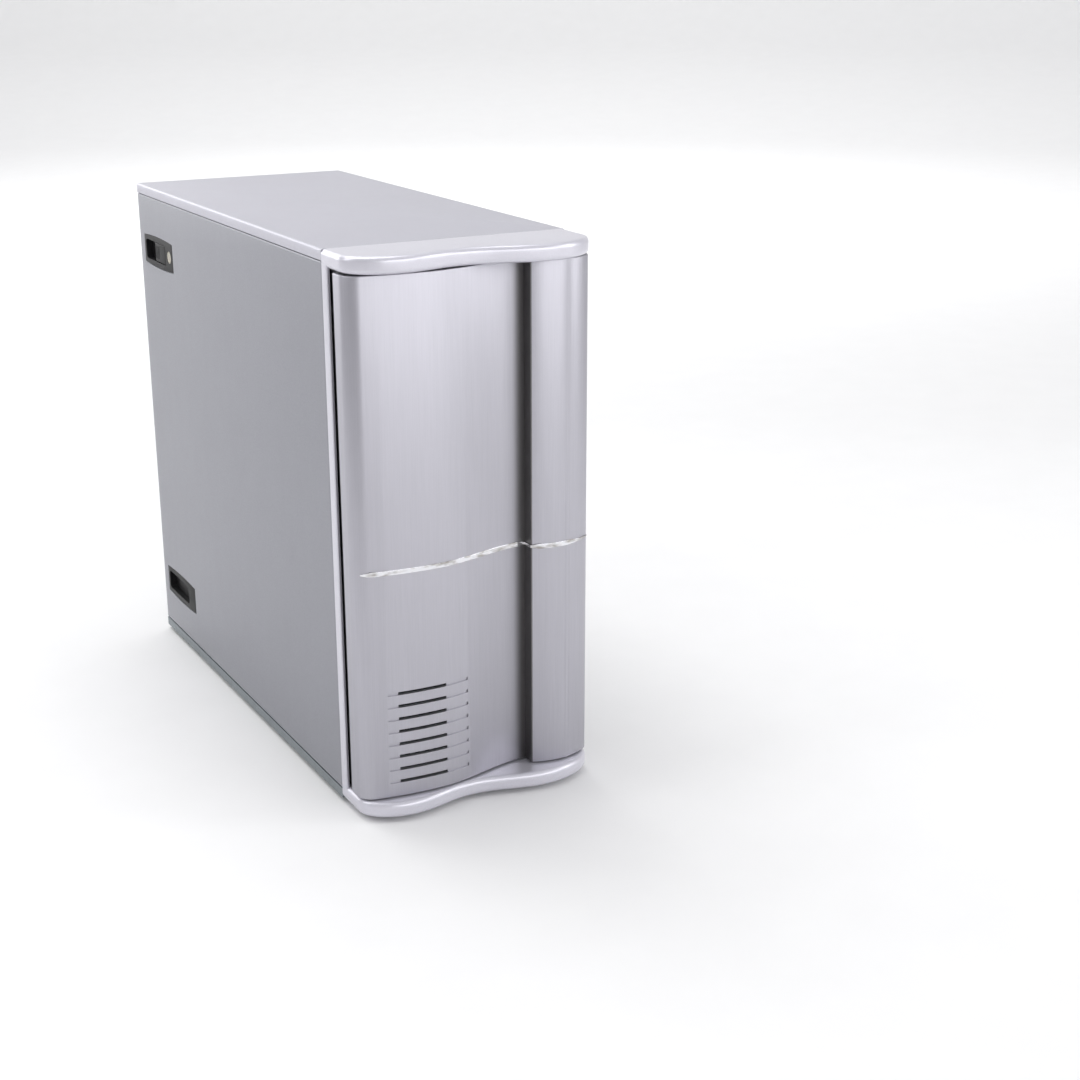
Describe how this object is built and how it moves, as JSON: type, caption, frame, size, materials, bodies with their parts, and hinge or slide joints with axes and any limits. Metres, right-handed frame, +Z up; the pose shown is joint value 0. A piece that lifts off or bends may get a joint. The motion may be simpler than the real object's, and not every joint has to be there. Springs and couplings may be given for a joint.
{
  "type": "desktop computer tower",
  "caption": "Upright steel computer case with a waved silver bezel and hinged door, sliding side panels with locking handles, fans, power supply, board and drives inside.",
  "frame": {"origin": "centre of the underside of the whole tower's box, on the surface it stands on", "axes": "+Z up; the door faces -Y; +X is to the right as the front is seen"},
  "size_m": [0.202, 0.511, 0.44],
  "materials": {
    "case_steel": "zinc-plated steel sheet, satin",
    "cover_silver": "fine-grained silver paint",
    "bezel_silver": "silver painted plastic, satin",
    "bezel_black": "moulded black plastic",
    "grille_black": "moulded black plastic mesh",
    "cover_plastic": "silver plastic covers",
    "drive_steel": "bare steel drive case",
    "disk_aluminium": "cast and machined aluminium",
    "fan_black": "moulded fan frame",
    "fan_clear": "pale moulded fan",
    "psu_steel": "galvanised sheet",
    "inlet_black": "moulded inlet",
    "switch_red": "moulded switch",
    "cable_yellow": "bundled leads",
    "board_green": "lacquered circuit board",
    "socket_ivory": "moulded sockets",
    "memory_green": "memory boards",
    "port_green_purple": "moulded round ports",
    "port_magenta": "moulded port",
    "port_teal": "moulded port",
    "port_blue": "moulded port",
    "port_shell": "plated shells",
    "jack_colours": "moulded jacks",
    "shield_steel": "thin plated sheet",
    "heatsink_aluminium": "extruded fins",
    "slot_steel": "plated slot covers",
    "fastener_zinc": "zinc-plated screws",
    "rivet_zinc": "rivets",
    "loop_steel": "bent plate",
    "port_panel": "front port block",
    "light_lens": "light pipes",
    "pin_steel": "polished pins",
    "button_silver": "plated buttons",
    "door_aluminium": "vertically brushed and anodised",
    "door_backing": "moulded door frame",
    "strip_chrome": "polished",
    "panel_silver": "fine-grained silver paint",
    "handle_black": "moulded handle",
    "lock_nickel": "nickel-plated lock barrel",
    "foot_rubber": "moulded rubber",
    "slider_red": "moulded slider"
  },
  "bodies": {
    "case": {"chassis_base": "case_steel", "rear_panel": "case_steel", "motherboard_tray": "case_steel", "top_cover": "cover_silver", "front_panel": "case_steel", "drive_cage": "case_steel", "feet": "foot_rubber", "bezel_shell": "bezel_silver", "bezel_inner": "bezel_black", "intake_grille": "grille_black", "bay_covers": "cover_plastic", "optical_drive": "drive_steel", "disc_tray": "cover_plastic", "hard_drive": "disk_aluminium", "intake_fan_frame": "fan_black", "exhaust_fan_frame": "fan_clear", "psu_case": "psu_steel", "power_inlet": "inlet_black", "voltage_switch": "switch_red", "psu_cables": "cable_yellow", "motherboard": "board_green", "expansion_sockets": "socket_ivory", "memory_modules": "memory_green", "ps2_ports": "port_green_purple", "parallel_port": "port_magenta", "serial_port": "port_teal", "video_port": "port_blue", "usb_network_ports": "port_shell", "audio_jacks": "jack_colours", "io_shield": "shield_steel", "cpu_heatsink": "heatsink_aluminium", "cpu_fan_frame": "fan_black", "slot_covers": "slot_steel", "screws": "fastener_zinc", "rivets": "rivet_zinc", "padlock_loop": "loop_steel", "front_ports": "port_panel", "status_lights": "light_lens", "hinge_pins": "pin_steel"},
    "door": {"door_skin": "door_aluminium", "door_frame": "door_backing", "door_strip": "strip_chrome"},
    "left_panel": {"left_side_panel": "panel_silver", "left_handles": "handle_black", "left_panel_screws": "fastener_zinc"},
    "left_lever": {"left_latch": "handle_black"},
    "left_barrel": {"left_lock": "lock_nickel"},
    "right_panel": {"right_side_panel": "panel_silver", "right_handles": "handle_black", "right_panel_screws": "fastener_zinc"},
    "right_lever": {"right_latch": "handle_black"},
    "right_barrel": {"right_lock": "lock_nickel"},
    "power_key": {"power_button": "button_silver"},
    "reset_key": {"reset_button": "button_silver"},
    "eject_key": {"eject_button": "button_silver"},
    "exhaust_rotor": {"exhaust_fan_rotor": "fan_clear"},
    "intake_rotor": {"intake_fan_rotor": "fan_black"},
    "psu_rotor": {"psu_fan_rotor": "fan_black"},
    "cpu_rotor": {"cpu_fan_rotor": "fan_black"},
    "voltage_key": {"voltage_slider": "slider_red"}
  },
  "joints": [
    {"name": "door_hinge", "type": "hinge", "parent": "case", "child": "door", "pos_m": [0.09, -0.2205, 0.222], "axis": [0, 0, 1], "range_deg": [0, 110]},
    {"name": "left_panel_pull", "type": "slide", "parent": "case", "child": "left_panel", "axis": [-1, 0, 0], "range_m": [0, 0.06]},
    {"name": "right_panel_pull", "type": "slide", "parent": "case", "child": "right_panel", "axis": [1, 0, 0], "range_m": [0, 0.06]},
    {"name": "left_latch_pull", "type": "hinge", "parent": "left_panel", "child": "left_lever", "pos_m": [-0.098, 0.1751, 0.3825], "axis": [0, 0, 1], "range_deg": [0, 30], "stiffness_Nm_per_rad": 0.02},
    {"name": "right_latch_pull", "type": "hinge", "parent": "right_panel", "child": "right_lever", "pos_m": [0.098, 0.1751, 0.3825], "axis": [0, 0, -1], "range_deg": [0, 30], "stiffness_Nm_per_rad": 0.02},
    {"name": "left_lock_turn", "type": "hinge", "parent": "left_panel", "child": "left_barrel", "pos_m": [-0.097, 0.1635, 0.3825], "axis": [1, 0, 0], "range_deg": [0, 90]},
    {"name": "right_lock_turn", "type": "hinge", "parent": "right_panel", "child": "right_barrel", "pos_m": [0.097, 0.1635, 0.3825], "axis": [1, 0, 0], "range_deg": [0, 90]},
    {"name": "power_press", "type": "slide", "parent": "case", "child": "power_key", "axis": [0, 1, 0], "range_m": [0, 0.0025], "stiffness_N_per_m": 300},
    {"name": "reset_press", "type": "slide", "parent": "case", "child": "reset_key", "axis": [0, 1, 0], "range_m": [0, 0.0025], "stiffness_N_per_m": 250},
    {"name": "eject_press", "type": "slide", "parent": "case", "child": "eject_key", "axis": [0, 1, 0], "range_m": [0, 0.0012], "stiffness_N_per_m": 250},
    {"name": "exhaust_fan_spin", "type": "hinge", "parent": "case", "child": "exhaust_rotor", "pos_m": [0.035, 0.2305, 0.266], "axis": [0, 1, 0], "continuous": true},
    {"name": "intake_fan_spin", "type": "hinge", "parent": "case", "child": "intake_rotor", "pos_m": [-0.0105, -0.1805, 0.083], "axis": [0, 1, 0], "continuous": true},
    {"name": "psu_fan_spin", "type": "hinge", "parent": "case", "child": "psu_rotor", "pos_m": [0.0355, 0.2313, 0.375], "axis": [0, 1, 0], "continuous": true},
    {"name": "cpu_fan_spin", "type": "hinge", "parent": "case", "child": "cpu_rotor", "pos_m": [-0.032, 0.1485, 0.241], "axis": [1, 0, 0], "continuous": true},
    {"name": "voltage_slide", "type": "slide", "parent": "case", "child": "voltage_key", "axis": [1, 0, 0], "range_m": [0, 0.006]}
  ]
}
